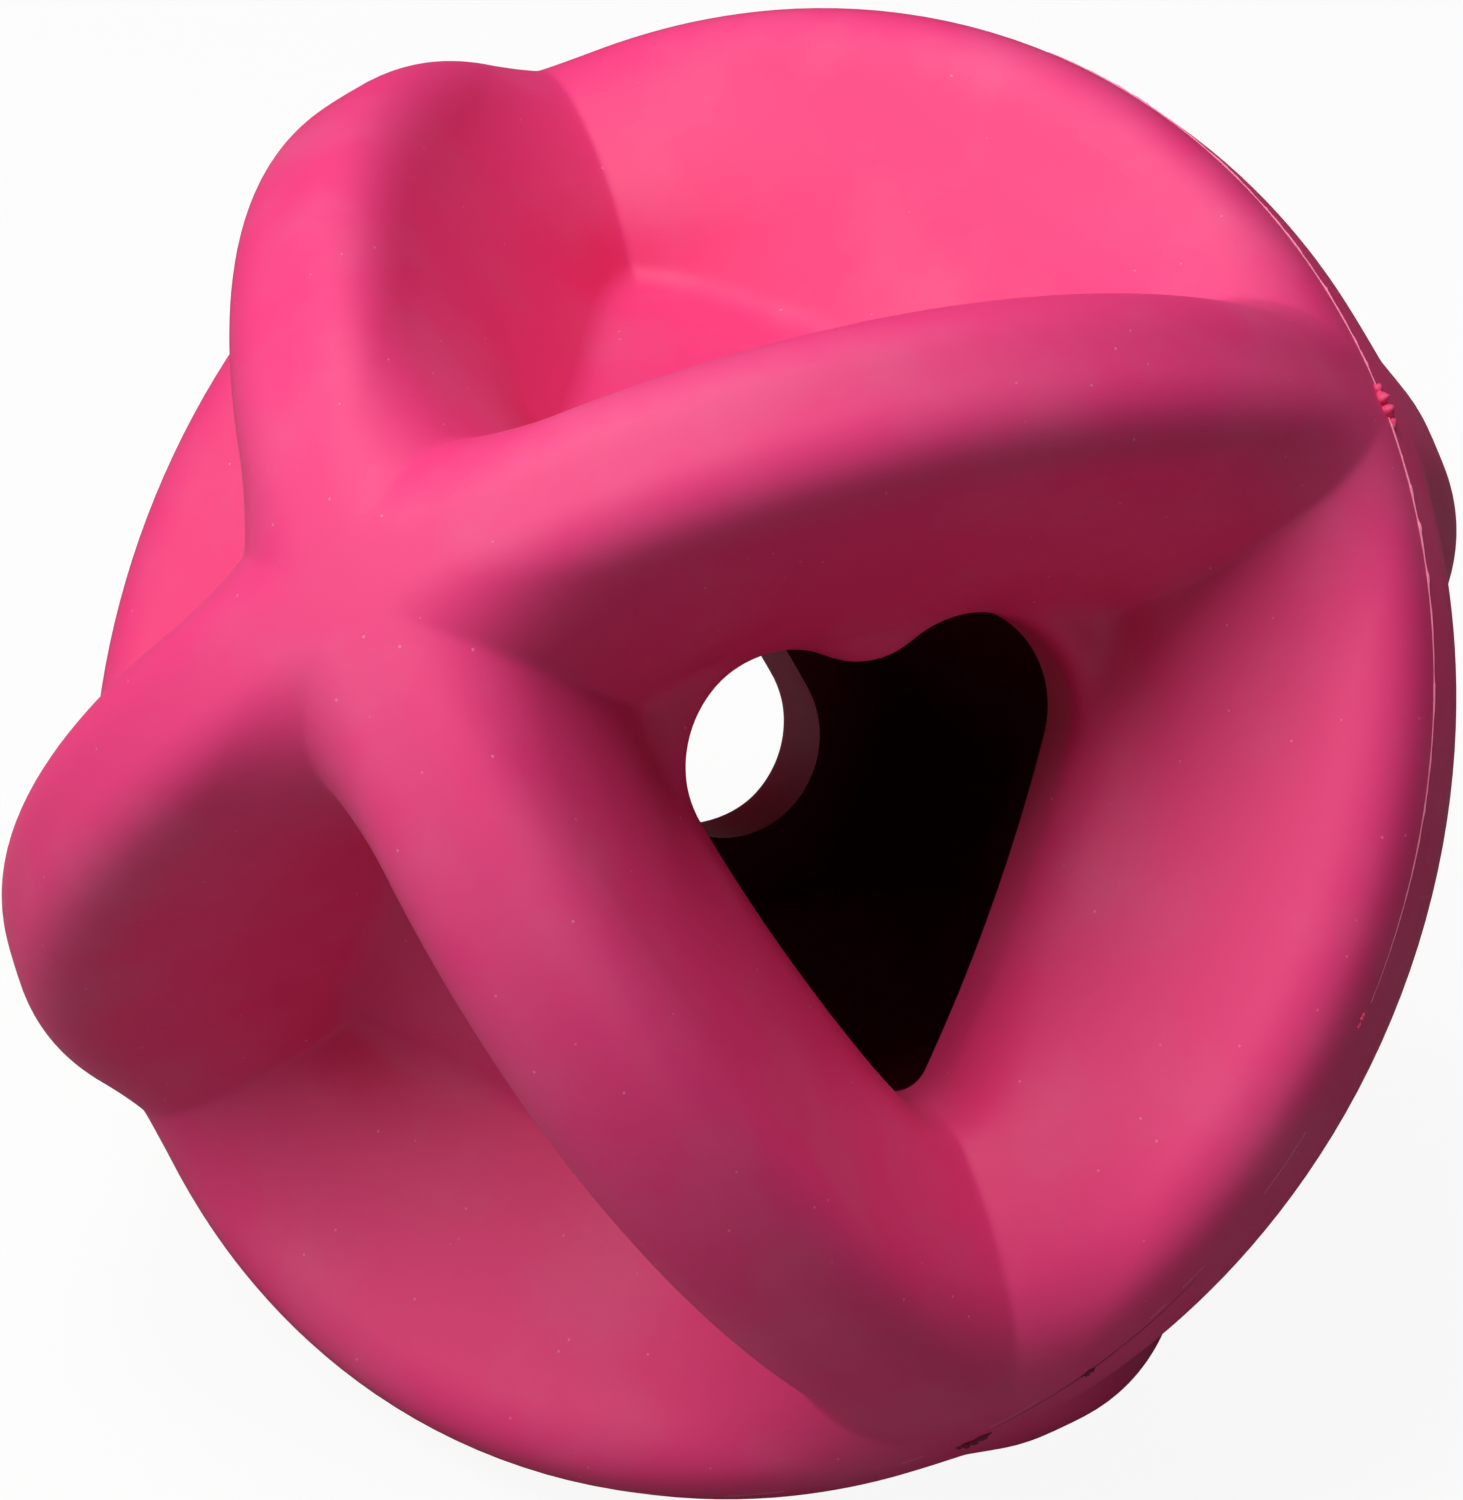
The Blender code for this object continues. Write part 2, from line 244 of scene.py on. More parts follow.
@dataclass
class BallShape:
    """The whole moulding as a field that is positive inside the rubber."""

    radius: float = 40.0 * MM
    floor_distance: float = 20.6 * MM
    floor_blend: float = 0.9 * MM
    crease_width: float = 0.35 * MM
    face_distance: float = 16.7 * MM
    boss_distance: float = 14.4 * MM
    cavity_radius: float = 25.0 * MM
    cavity_blend: float = 2.0 * MM
    march_steps: int = 96
    halvings: int = 26
    rib: RibSection = field(default_factory=RibSection)
    closed_corners: CornerFlare = field(default_factory=CornerFlare)
    heart_corners: CornerFlare = field(default_factory=CornerFlare)
    heart: HeartOpening = field(default_factory=HeartOpening)

    def axes(self) -> np.ndarray:
        """Return the heart's across, up and outward directions as rows."""
        across = np.array([-1.0, 0.0, 1.0]) / math.sqrt(2.0)
        out = np.ones(3) / math.sqrt(3.0)
        return np.array([across, np.cross(out, across), out])

    def rubber_depth(self, points: np.ndarray, pocket: Pocket) -> np.ndarray:
        """Return how deep each point lies in the rubber, in about metres.

        A rib's own field is its half width less the distance from its mid plane. The
        larger of the two nearest ribs' fields is their mean plus half their gap. The
        gap is kept from nought, so that the crease is a little rounded, and the ribs
        widen as it closes. The ball's outer sphere bounds them by a smooth minimum,
        which rounds the crowns. The pocket's flat floor is joined on by a smooth
        maximum, and another smooth minimum cuts the opening.

        Args:
            points: Points in the first octant of the mould's axes, (..., 3).
            pocket: Whether the octant has the opening.

        Returns:
            The depth, positive in rubber and negative in the open.
        """
        is_heart = pocket is Pocket.HEART
        depth = self.radius - np.linalg.norm(points, axis=-1)
        near, middle, _ = np.moveaxis(np.sort(points, axis=-1), -1, 0)
        gap = np.hypot(middle - near, self.crease_width)
        corners = self.heart_corners if is_heart else self.closed_corners
        ribs = self.rib.wall(depth) - (near + middle - gap) / 2.0 + corners.widening(depth, gap)
        solid = smooth_min(ribs, depth, self.rib.crown_rounding)
        across, up, out = np.moveaxis(points @ self.axes().T, -1, 0)
        solid = smooth_max(solid, self.floor_distance - out, self.floor_blend)
        if is_heart:
            solid = smooth_min(solid, self.heart.distance(across, up), self.heart.lip_blend)
        return solid

    def cavity_distance(self, headings: np.ndarray, side: Side) -> np.ndarray:
        """Return how far the hollow's wall is from the centre in each direction.

        The hollow is a sphere with a flat face under each pocket's floor. The face at
        the rear opening lies nearer to the centre than the others.

        Args:
            headings: Unit directions, in axes that put the side's opening at (1, 1, 1).
            side: Which half's axes they are.

        Returns:
            The distance in metres, for each direction.
        """
        least_slant = 0.3
        face = self.face_distance * math.sqrt(3.0) / np.abs(headings).sum(-1)
        to_rear = headings.sum(-1) * (-side.value / math.sqrt(3.0))
        boss = self.boss_distance / np.maximum(to_rear, least_slant)
        round_wall = np.full_like(face, self.cavity_radius)
        return np.minimum(smooth_min(face, round_wall, self.cavity_blend), boss)

    def first_hit(
        self, origin: np.ndarray, heading: np.ndarray, start: float, end: float, pocket: Pocket
    ) -> np.ndarray:
        """Return where rays first enter the rubber, by steps and then by bisection.

        Args:
            origin: Start of the rays, which broadcasts with heading.
            heading: Unit directions, (..., 3).
            start: Distance along the ray at which the march starts, in the open.
            end: Distance at which it ends.
            pocket: Kind of the pocket that the rays run through.

        Returns:
            The distance along each ray, or the end where nothing is met.
        """
        before = np.full(heading.shape[:-1], start)
        after = np.full(heading.shape[:-1], end)
        found = np.zeros(heading.shape[:-1], bool)
        for index in range(1, self.march_steps + 1):
            along = start + (end - start) * index / self.march_steps
            depth = self.rubber_depth(origin + heading * along, pocket)
            new = (depth > 0.0) & ~found
            after = np.where(new, along, after)
            found |= new
            before = np.where(found, before, along)
        for _ in range(self.halvings):
            middle = (before + after) / 2.0
            depth = self.rubber_depth(origin + heading * middle[..., None], pocket)
            inside = depth > 0.0
            after, before = np.where(inside, middle, after), np.where(inside, before, middle)
        return (before + after) / 2.0


@dataclass
class PatchGrid:
    """Grid over one octant: lines that fan out from its axis, and rows down the ribs.

    Each line's points are found by rays from an eye high on the octant's axis, which
    sees all of the pocket. The rows crowd where a line bends. A closed pocket's last
    row keeps off its floor's middle by the pole angle, seen from the eye. The march
    starts and ends at shares of the ball's and the centre's distance from the eye.
    """

    edge_steps: int = 72
    crowding: float = 0.7
    closed_rows: int = 78
    heart_rows: int = 150
    cavity_rows: int = 30
    eye_distance: float = 80.0 * MM
    bend_length: float = 2.0 * MM
    trial_rows: tuple[int, int] = (240, 480)
    pole_angle: float = 0.0002
    march: tuple[float, float] = (0.95, 1.1)
    rim_rounds: int = 30

    def edge_angles(self) -> np.ndarray:
        """Return angles from one hub to the next, crowded near both.

        The angle is 90 degrees * (s - crowding / 2 pi * sin(2 pi s)), s from 0 to 1.

        Returns:
            Angles in radians, without the next hub's own.
        """
        share = np.arange(self.edge_steps) / self.edge_steps
        bend = self.crowding / (2.0 * math.pi) * np.sin(2.0 * math.pi * share)
        return math.pi / 2.0 * (share - bend)

    def fan(self) -> tuple[np.ndarray, np.ndarray]:
        """Return the fan's headings square to the octant's axis, and where they start.

        They run anticlockwise seen from outside: from the hub on Z to that on X, then
        to that on Y and back.

        Returns:
            Unit headings and unit directions of the ribs' middle lines, (count, 3).
        """
        out = np.ones(3) / math.sqrt(3.0)
        angles = self.edge_angles()[:, None]
        hubs = np.eye(3)
        pairs = ((2, 0), (0, 1), (1, 2))
        edges = [np.cos(angles) * hubs[a] + np.sin(angles) * hubs[b] for a, b in pairs]
        middle_lines = np.concatenate(edges)
        return unit(middle_lines - (middle_lines @ out)[:, None] * out), middle_lines


def unit(points: np.ndarray) -> np.ndarray:
    """Return the directions of points seen from the origin."""
    return points / np.linalg.norm(points, axis=-1, keepdims=True)


@dataclass
class OctantSurface:
    """Outer surface of one octant, worked out once and mirrored by the half shells."""

    shape: BallShape
    grid: PatchGrid

    def pocket_rows(self, pocket: Pocket, side: Side = Side.FRONT) -> np.ndarray:
        """Return the rows from the ribs' middle lines down into a pocket.

        In a closed pocket they end next to the floor's middle, and in the other one at
        the opening's inner rim. Rays from the eye are spaced evenly by angle at first,
        then by the way along each line plus a length for each radian that it bends.

        Args:
            pocket: Which kind of pocket.
            side: Which half it is in, for the place of the inner rim.

        Returns:
            Points, (rows, count, 3).
        """
        shape, grid = self.shape, self.grid
        fan, middle_lines = grid.fan()
        out = shape.axes()[2]
        eye = out * grid.eye_distance
        start = shape.radius * middle_lines - eye
        last = np.full(len(fan), grid.pole_angle)
        count = grid.closed_rows
        if pocket is Pocket.HEART:
            reach, height = self.rim(fan, side)
            last = np.arctan2(reach, grid.eye_distance - height)
            count = grid.heart_rows
        first = np.arctan2((start * fan).sum(-1), -(start @ out))
        march_start = grid.march[0] * (grid.eye_distance - shape.radius)
        march_end = grid.march[1] * grid.eye_distance
        shares = np.linspace(0.0, 1.0, grid.trial_rows[0] + 1)[:, None] * np.ones(len(fan))
        for wanted in (*grid.trial_rows[1:], count, None):
            angle = first + (last - first) * shares
            heading = np.sin(angle)[..., None] * fan - np.cos(angle)[..., None] * out
            hit = shape.first_hit(eye, heading, march_start, march_end, pocket)
            rows = eye + heading * hit[..., None]
            if wanted is not None:
                shares = self.respaced(rows, fan, shares, wanted)
        rows[0] = shape.radius * middle_lines
        if pocket is Pocket.HEART:
            rows[-1] = reach[:, None] * fan + height[:, None] * out
        return rows

    def rim(self, fan: np.ndarray, side: Side) -> tuple[np.ndarray, np.ndarray]:
        """Return how far out and how high the opening meets the hollow's wall.

        The height is found by turns: it gives the heading of the hollow's wall, whose
        distance gives the next height.

        Args:
            fan: Headings of the lines, (count, 3).
            side: Which half the opening is in.

        Returns:
            Distances from the opening's axis, and heights along it, in metres.
        """
        axes = self.shape.axes()
        reach = self.shape.heart.reach(np.arctan2(fan @ axes[1], fan @ axes[0]))
        height = np.full_like(reach, self.shape.face_distance)
        for _ in range(self.grid.rim_rounds):
            heading = unit(reach[:, None] * fan + height[:, None] * axes[2])
            height = self.shape.cavity_distance(heading, side) * (heading @ axes[2])
        return reach, height

    def respaced(self, rows: np.ndarray, fan: np.ndarray, shares: np.ndarray, wanted: int) -> np.ndarray:
        """Return shares at which rows lie evenly by length and bend along each line.

        Args:
            rows: Points of the rows so far, (rows, count, 3).
            fan: Headings of the lines, (count, 3).
            shares: Shares of the eye's angle at which those rows lie.
            wanted: Number of steps from the first row to the last.

        Returns:
            New shares, (wanted + 1, count).
        """
        step = np.diff(rows, axis=0)
        length = np.linalg.norm(step, axis=-1)
        turn = np.unwrap(np.arctan2(step @ self.shape.axes()[2], (step * fan).sum(-1)), axis=0)
        bend = np.abs(np.diff(turn, axis=0, prepend=turn[:1]))
        way = np.cumsum(length + self.grid.bend_length * bend, axis=0)
        way = np.concatenate([np.zeros((1, len(fan))), way]) / way[-1]
        even = np.linspace(0.0, 1.0, wanted + 1)
        columns = [np.interp(even, way[:, k], shares[:, k]) for k in range(len(fan))]
        return np.stack(columns, axis=1)

    def cavity_rows(self, rim: np.ndarray, side: Side) -> np.ndarray:
        """Return rows over the cavity's wall, from the heart's rim to the seam plane.

        On each fan half plane the angle from the opening's axis runs from the rim to
        where the mould's X is nought.

        Args:
            rim: Points of the heart's inner rim, (count, 3).
            side: Which half the opening is in.

        Returns:
            Points, (rows, count, 3), without the rim's own.
        """
        fan, _ = self.grid.fan()
        out = np.ones(3) / math.sqrt(3.0)
        first = np.arctan2((rim * fan).sum(-1), rim @ out)
        last = np.arctan2(out[0], -fan[:, 0])
        share = np.linspace(0.0, 1.0, self.grid.cavity_rows + 1)[1:, None]
        angle = first + (last - first) * share
        heading = np.cos(angle)[..., None] * out + np.sin(angle)[..., None] * fan[None]
        rows = heading * self.shape.cavity_distance(heading, side)[..., None]
        rows[-1, :, 0] = 0.0
        return rows


def grid_faces(rows: int, count: int, first: int = 0) -> np.ndarray:
    """Return the quads of a grid whose rows are closed rings, outward side up.

    Args:
        rows: Number of rings.
        count: Number of points in each ring.
        first: Number of the first point.

    Returns:
        Quads, (faces, 4).
    """
    row, column = np.meshgrid(np.arange(rows - 1), np.arange(count), indexing="ij")
    after = (column + 1) % count
    this_ring, next_ring = row * count, (row + 1) * count
    corners = [this_ring + column, this_ring + after, next_ring + after, next_ring + column]
    return np.stack(corners, axis=-1).reshape(-1, 4) + first


def fan_faces(ring: np.ndarray, tip: int) -> np.ndarray:
    """Return the triangles between a closed ring of points and one tip."""
    after = np.roll(ring, -1)
    return np.stack([ring, after, np.full_like(ring, tip)], axis=-1)


def zip_faces(
    outer: np.ndarray, outer_turn: np.ndarray, inner: np.ndarray, inner_turn: np.ndarray
) -> np.ndarray:
    """Return the triangles between two closed rings with unlike numbers of points.

    Both rings are sorted by their angle. Stepping through all angles in order moves
    on one ring at a time, and each such step is a triangle.

    Args:
        outer: Point numbers of the outer ring.
        outer_turn: Their angles.
        inner: Point numbers of the inner ring.
        inner_turn: Their angles.

    Returns:
        Triangles, (outer + inner, 3), anticlockwise as the angles run.
    """
    outer, inner = outer[np.argsort(outer_turn)], inner[np.argsort(inner_turn)]
    turns = np.concatenate([np.sort(outer_turn), np.sort(inner_turn)])
    is_outer = np.concatenate([np.ones(len(outer), bool), np.zeros(len(inner), bool)])
    is_outer = is_outer[np.argsort(turns, kind="stable")]
    at_outer = np.cumsum(is_outer) - 1
    at_inner = np.cumsum(~is_outer) - 1
    before_outer, before_inner = at_outer - is_outer, at_inner - ~is_outer
    third = np.where(is_outer, outer[at_outer % len(outer)], inner[at_inner % len(inner)])
    last_outer, last_inner = outer[before_outer % len(outer)], inner[before_inner % len(inner)]
    return np.stack([last_outer, third, last_inner], axis=-1)


def weld(points: np.ndarray, faces: list[np.ndarray]) -> Body:
    """Merge points that lie at the same place, and renumber the faces.

    Args:
        points: Points in metres, (count, 3).
        faces: Arrays of point numbers.

    Returns:
        The points that are left, all the quads, and the triangles whose corners differ.
        A quad can be left with two corners on one point.
    """
    key = np.round(points / WELD).astype(np.int64)
    _, keep, number = np.unique(key, axis=0, return_index=True, return_inverse=True)
    number = number.reshape(-1)
    kept = []
    for group in faces:
        group = number[group]
        if group.shape[1] == 3:
            same = (group == np.roll(group, 1, axis=1)).any(axis=1)
            group = group[~same]
        kept.append(group)
    return points[keep], kept


def make_mesh(name: str, points: np.ndarray, faces: list[np.ndarray]) -> bpy.types.Mesh:
    """Return a smooth mesh of whole arrays of points and faces.

    Args:
        name: Name of the mesh.
        points: Points in metres, (count, 3).
        faces: Arrays of point numbers, one for each number of corners.

    Returns:
        The new mesh.
    """
    mesh = bpy.data.meshes.new(name)
    corners = np.concatenate([group.reshape(-1) for group in faces])
    sizes = np.concatenate([np.full(len(group), group.shape[1]) for group in faces])
    starts = np.concatenate([[0], np.cumsum(sizes)[:-1]])
    mesh.vertices.add(len(points))
    mesh.vertices.foreach_set("co", points.astype(np.float32).reshape(-1))
    mesh.loops.add(len(corners))
    mesh.loops.foreach_set("vertex_index", corners.astype(np.int32))
    mesh.polygons.add(len(sizes))
    mesh.polygons.foreach_set("loop_start", starts.astype(np.int32))
    mesh.update(calc_edges=True)
    mesh.validate()
    mesh.shade_smooth()
    return mesh


def mould_to_world() -> np.ndarray:
    """Return the turn from the mould's axes to the attitude in which the ball rests."""
    up = np.array([1.0, -1.0, 1.0]) / math.sqrt(3.0)
    right = np.array([-1.0, 0.0, 1.0]) / math.sqrt(2.0)
    return np.array([right, np.cross(up, right), up])


def linear(code: str) -> tuple[float, float, float, float]:
    """Return the linear colour of an sRGB hex value.

    Args:
        code: The colour, written as #RRGGBB.

    Returns:
        Red, green, blue and an alpha of 1.
    """
    shares = [int(code[i : i + 2], 16) / 255.0 for i in (1, 3, 5)]
    red, green, blue = [
        share / 12.92 if share <= 0.04045 else ((share + 0.055) / 1.055) ** 2.4
        for share in shares
    ]
    return (red, green, blue, 1.0)


def add_node(
    tree: bpy.types.NodeTree,
    kind: str,
    settings: dict[str, object] | None = None,
    inputs: dict[str | int, object] | None = None,
) -> bpy.types.Node:
    """Add a node, set it up and link it.

    Args:
        tree: The node tree.
        kind: The node's type.
        settings: Values of the node's own properties.
        inputs: A value, or an output to link, for each named or numbered input.

    Returns:
        The new node.
    """
    node = tree.nodes.new(kind)
    for name, value in (settings or {}).items():
        setattr(node, name, value)
    for name, value in (inputs or {}).items():
        if isinstance(value, bpy.types.NodeSocket):
            tree.links.new(value, node.inputs[name])
        else:
            node.inputs[name].default_value = value
    return node


@dataclass(frozen=True)
class MouldedNaturalRubber:
    """Natural rubber, compression moulded, with the faint bloom that it sweats out.

    To the eye it is a deep matte pink with a broad soft sheen, faint cloudy patches of
    pale bloom, pin-prick pale specks of dust and a very fine grain from the mould. The
    grain is drawn coarser than a blasted mould's real one, which is too fine to show.
    """

    name: str = "moulded_natural_rubber"
    pink: str = "#F43E82"
    bloom: str = "#E37AA2"
    speck: str = "#F3B9CC"
    roughness: float = 0.55
    specular: float = 0.38
    cloud_size: float = 9.0 * MM
    cloud_edges: tuple[float, float] = (0.45, 0.75)
    most_bloom: float = 0.26
    speck_spacing: float = 1.7 * MM
    speck_radius: float = 0.09 * MM
    most_dust: float = 0.45
    grain_size: float = 0.25 * MM
    grain_height: float = 0.02 * MM
    grain_strength: float = 0.12

    def make(self) -> bpy.types.Material:
        """Make the finish: bloom mixed in by clouds, then specks of dust, over a fine grain.

        Returns:
            The new material.
        """
        material = bpy.data.materials.new(self.name)
        material.use_nodes = True
        tree = material.node_tree
        tree.nodes.clear()
        where = add_node(tree, "ShaderNodeTexCoord").outputs["Object"]
        clouds = add_node(
            tree,
            "ShaderNodeTexNoise",
            inputs={"Vector": where, "Scale": 1.0 / self.cloud_size, "Detail": 4.0, "Roughness": 0.55},
        )
        patches = add_node(
            tree,
            "ShaderNodeMapRange",
            inputs={
                "Value": clouds.outputs["Fac"],
                "From Min": self.cloud_edges[0],
                "From Max": self.cloud_edges[1],
                "To Min": 0.0,
                "To Max": self.most_bloom,
            },
        )
        colour = add_node(
            tree,
            "ShaderNodeMix",
            {"data_type": "RGBA"},
            {"Factor": patches.outputs["Result"], 6: linear(self.pink), 7: linear(self.bloom)},
        )
        dust = add_node(
            tree,
            "ShaderNodeTexVoronoi",
            inputs={"Vector": where, "Scale": 1.0 / self.speck_spacing},
        )
        reach = self.speck_radius / self.speck_spacing
        specks = add_node(
            tree,
            "ShaderNodeMapRange",
            inputs={
                "Value": dust.outputs["Distance"],
                "From Min": reach,
                "From Max": 0.5 * reach,
                "To Min": 0.0,
                "To Max": self.most_dust,
            },
        )
        dusted = add_node(
            tree,
            "ShaderNodeMix",
            {"data_type": "RGBA"},
            {"Factor": specks.outputs["Result"], 6: colour.outputs[2], 7: linear(self.speck)},
        )
        grain = add_node(
            tree,
            "ShaderNodeTexNoise",
            inputs={"Vector": where, "Scale": 1.0 / self.grain_size, "Detail": 2.0},
        )
        bump = add_node(
            tree,
            "ShaderNodeBump",
            inputs={
                "Height": grain.outputs["Fac"],
                "Strength": self.grain_strength,
                "Distance": self.grain_height,
            },
        )
        shader = add_node(
            tree,
            "ShaderNodeBsdfPrincipled",
            inputs={
                "Base Color": dusted.outputs[2],
                "Roughness": self.roughness,
                "Specular IOR Level": self.specular,
                "Normal": bump.outputs["Normal"],
            },
        )
        add_node(tree, "ShaderNodeOutputMaterial", inputs={"Surface": shader.outputs["BSDF"]})
        return material


@dataclass(frozen=True)
class HollowPaintedShadeRubber(MouldedNaturalRubber):
    """The same rubber, darkened in the hollow to paint in the shade that the hollow lies in.

    To the eye the hollow is nearly black, with a trace of deep red.
    """

    name: str = "hollow_painted_shade_rubber"
    pink: str = "#8C2236"
    bloom: str = "#7A2A3A"
    speck: str = "#8C4652"
    roughness: float = 0.8
    specular: float = 0.1


@dataclass(frozen=True)
class PaleSweep:
    """Matt white studio card. To the eye it is plain white with the ball's soft shadow.

    The glow is the share of the card that shows white to the camera without any light.
    """

    name: str = "pale_studio_card"
    card: str = "#F4F4F2"
    bounce: str = "#8A8A8A"
    glow: float = 0.92

    def make(self) -> bpy.types.Material:
        """Make the finish: near white to the camera, and a duller card to the ball.

        Returns:
            The new material.
        """
        material = bpy.data.materials.new(self.name)
        material.use_nodes = True
        tree = material.node_tree
        tree.nodes.clear()
        path = add_node(tree, "ShaderNodeLightPath")
        card = add_node(tree, "ShaderNodeBsdfDiffuse", inputs={"Color": linear(self.card)})
        dull = add_node(tree, "ShaderNodeBsdfDiffuse", inputs={"Color": linear(self.bounce)})
        white = add_node(tree, "ShaderNodeEmission", inputs={"Color": WHITE, "Strength": 1.0})
        seen = add_node(
            tree,
            "ShaderNodeMixShader",
            inputs={0: self.glow, 1: card.outputs[0], 2: white.outputs[0]},
        )
        mix = add_node(
            tree,
            "ShaderNodeMixShader",
            inputs={0: path.outputs["Is Camera Ray"], 1: dull.outputs[0], 2: seen.outputs[0]},
        )
        add_node(tree, "ShaderNodeOutputMaterial", inputs={"Surface": mix.outputs[0]})
        return material


@dataclass(frozen=True)
class FlashRubber:
    """Thin torn rubber of the parting line. To the eye it is paler or darker than the ball.

    The pale thin flash is partly its own paler rubber and partly a painted highlight, for the light that
    its edge catches. The dark colour is painted shade of the groove along the seam's lower stretch.
    """

    name: str
    colour: str
    roughness: float = 0.6

    def make(self) -> bpy.types.Material:
        """Make the finish.

        Returns:
            The new material.
        """
        material = bpy.data.materials.new(self.name)
        material.use_nodes = True
        shader = material.node_tree.nodes["Principled BSDF"]
        shader.inputs["Base Color"].default_value = linear(self.colour)
        shader.inputs["Roughness"].default_value = self.roughness
        return material


@dataclass
class HalfShells:
    """The two moulded halves of the ball.

    At the middle of each closed pocket's floor a ragged hole about 1 mm wide is left,
    where the mesh's validation drops quads whose corners weld has merged.
    """

    shape: BallShape = field(default_factory=BallShape)
    grid: PatchGrid = field(default_factory=PatchGrid)
    seam_gap: float = 0.002 * MM
    sharp_angle: float = math.radians(38.0)

    def closed_surface(self) -> np.ndarray:
        """Return the closed pocket's rows, which both halves share."""
        return OctantSurface(self.shape, self.grid).pocket_rows(Pocket.CLOSED)

    def heart_surface(self, side: Side) -> np.ndarray:
        """Return the heart pocket's rows, down through the opening and on to the seam.

        Args:
            side: Which half the pocket is in.

        Returns:
            Points, (rows, count, 3).
        """
        octant = OctantSurface(self.shape, self.grid)
        heart = octant.pocket_rows(Pocket.HEART, side)
        return np.concatenate([heart, octant.cavity_rows(heart[-1], side)])

    def build(self, side: Side, closed: np.ndarray, heart: np.ndarray, name: str) -> bpy.types.Object:
        """Build one half from three mirrored closed pockets and one heart pocket.

        Args:
            side: Which half.
            closed: Rows of the closed pocket, in the first octant.
            heart: Rows of the heart pocket and the cavity's wall.
            name: Name of the piece.

        Returns:
            The finished object, in the attitude in which the ball rests.
        """
        sign = side.value
        pole = self.shape.floor_distance * np.ones(3) / math.sqrt(3.0)
        points, quads, triangles, total = [], [], [], 0
        for across, up in ((sign, sign), (sign, -sign), (-sign, sign), (-sign, -sign)):
            mirror = np.array([sign, across, up])
            is_heart = across == sign and up == sign
            rows = heart if is_heart else closed
            flip = mirror.prod() < 0.0
            faces = grid_faces(rows.shape[0], rows.shape[1], total)
            quads.append(faces[:, ::-1] if flip else faces)
            points.append(rows.reshape(-1, 3) * mirror)
            total += rows.shape[0] * rows.shape[1]
            if not is_heart:
                ring = np.arange(total - rows.shape[1], total)
                caps = fan_faces(ring, total)
                triangles.append(caps[:, ::-1] if flip else caps)
                points.append(pole[None] * mirror)
                total += 1
        groups = [np.concatenate(quads), np.concatenate(triangles)]
        points, faces = weld(np.concatenate(points), groups)
        seam = np.flatnonzero(np.abs(points[:, 0]) < WELD)
        far = np.linalg.norm(points[seam], axis=1)
        turn = np.arctan2(points[seam, 2], points[seam, 1])
        outer = far > (self.shape.radius + self.shape.cavity_radius) / 2.0
        ring = zip_faces(seam[outer], turn[outer], seam[~outer], turn[~outer])
        faces.append(ring[:, ::-1] if sign > 0.0 else ring)
        points[seam, 0] = sign * self.seam_gap
        mesh = make_mesh(name, points @ mould_to_world().T, faces)
        # The heart pocket's quads come first, and the hollow's are the last of them.
        # The hollow's faces take the second material, the rubber darkened as painted shade.
        finish = np.zeros(len(mesh.polygons), dtype=np.int32)
        last = (heart.shape[0] - 1) * heart.shape[1]
        finish[last - self.grid.cavity_rows * heart.shape[1] : last] = 1
        mesh.polygons.foreach_set("material_index", finish)
        mesh.set_sharp_from_angle(angle=self.sharp_angle)
        piece = bpy.data.objects.new(name, mesh)
        bpy.context.scene.collection.objects.link(piece)
        return piece


def ribbon(
    middle: np.ndarray, outward: np.ndarray, foot: np.ndarray, height: np.ndarray, width: np.ndarray
) -> Body:
    """Return a thin wall along a line: four corners a section, narrower at the top.

    Args:
        middle: Points on the surface along the line, (count, 3).
        outward: The surface's unit normals there.
        foot: How deep the wall is sunk at each point, in metres.
        height: How far it stands out.
        width: Its width at the surface.

    Returns:
        Points and faces of a closed body with flat ends.
    """
    foot_share, top_share = 0.6, 0.22
    along = unit(np.gradient(middle, axis=0))
    aside = np.cross(outward, along)
    corners = []
    for lift, half in ((-foot, foot_share * width), (height, top_share * width)):
        for sign in (-1.0, 1.0):
            corners.append(middle + outward * lift[:, None] + aside * (sign * half)[:, None])
    low_left, low_right, high_left, high_right = corners
    points = np.stack([low_left, low_right, high_right, high_left], axis=1)
    count = len(middle)
    ends = np.array([[3, 2, 1, 0], [0, 1, 2, 3]]) + np.array([[0], [4 * (count - 1)]])
    return points.reshape(-1, 3), [np.concatenate([grid_faces(count, 4), ends])]


def wander(count: int, step: int, seed: int) -> np.ndarray:
    """Return random values from 0 to 1, a new one every step places, with straight runs.

    Args:
        count: Number of values.
        step: Number of places from one random value to the next.
        seed: Seed of the random numbers.

    Returns:
        The values, (count,).
    """
    knots = np.random.default_rng(seed).random(count // step + 2)
    return np.interp(np.arange(count) / step, np.arange(len(knots)), knots)


@dataclass(frozen=True)
class Scrap:
    """One torn or trimmed bit of rubber on the seam, between two angles in degrees."""

    start: float
    end: float
    offset: float
    height: float
    width: float
    seed: int


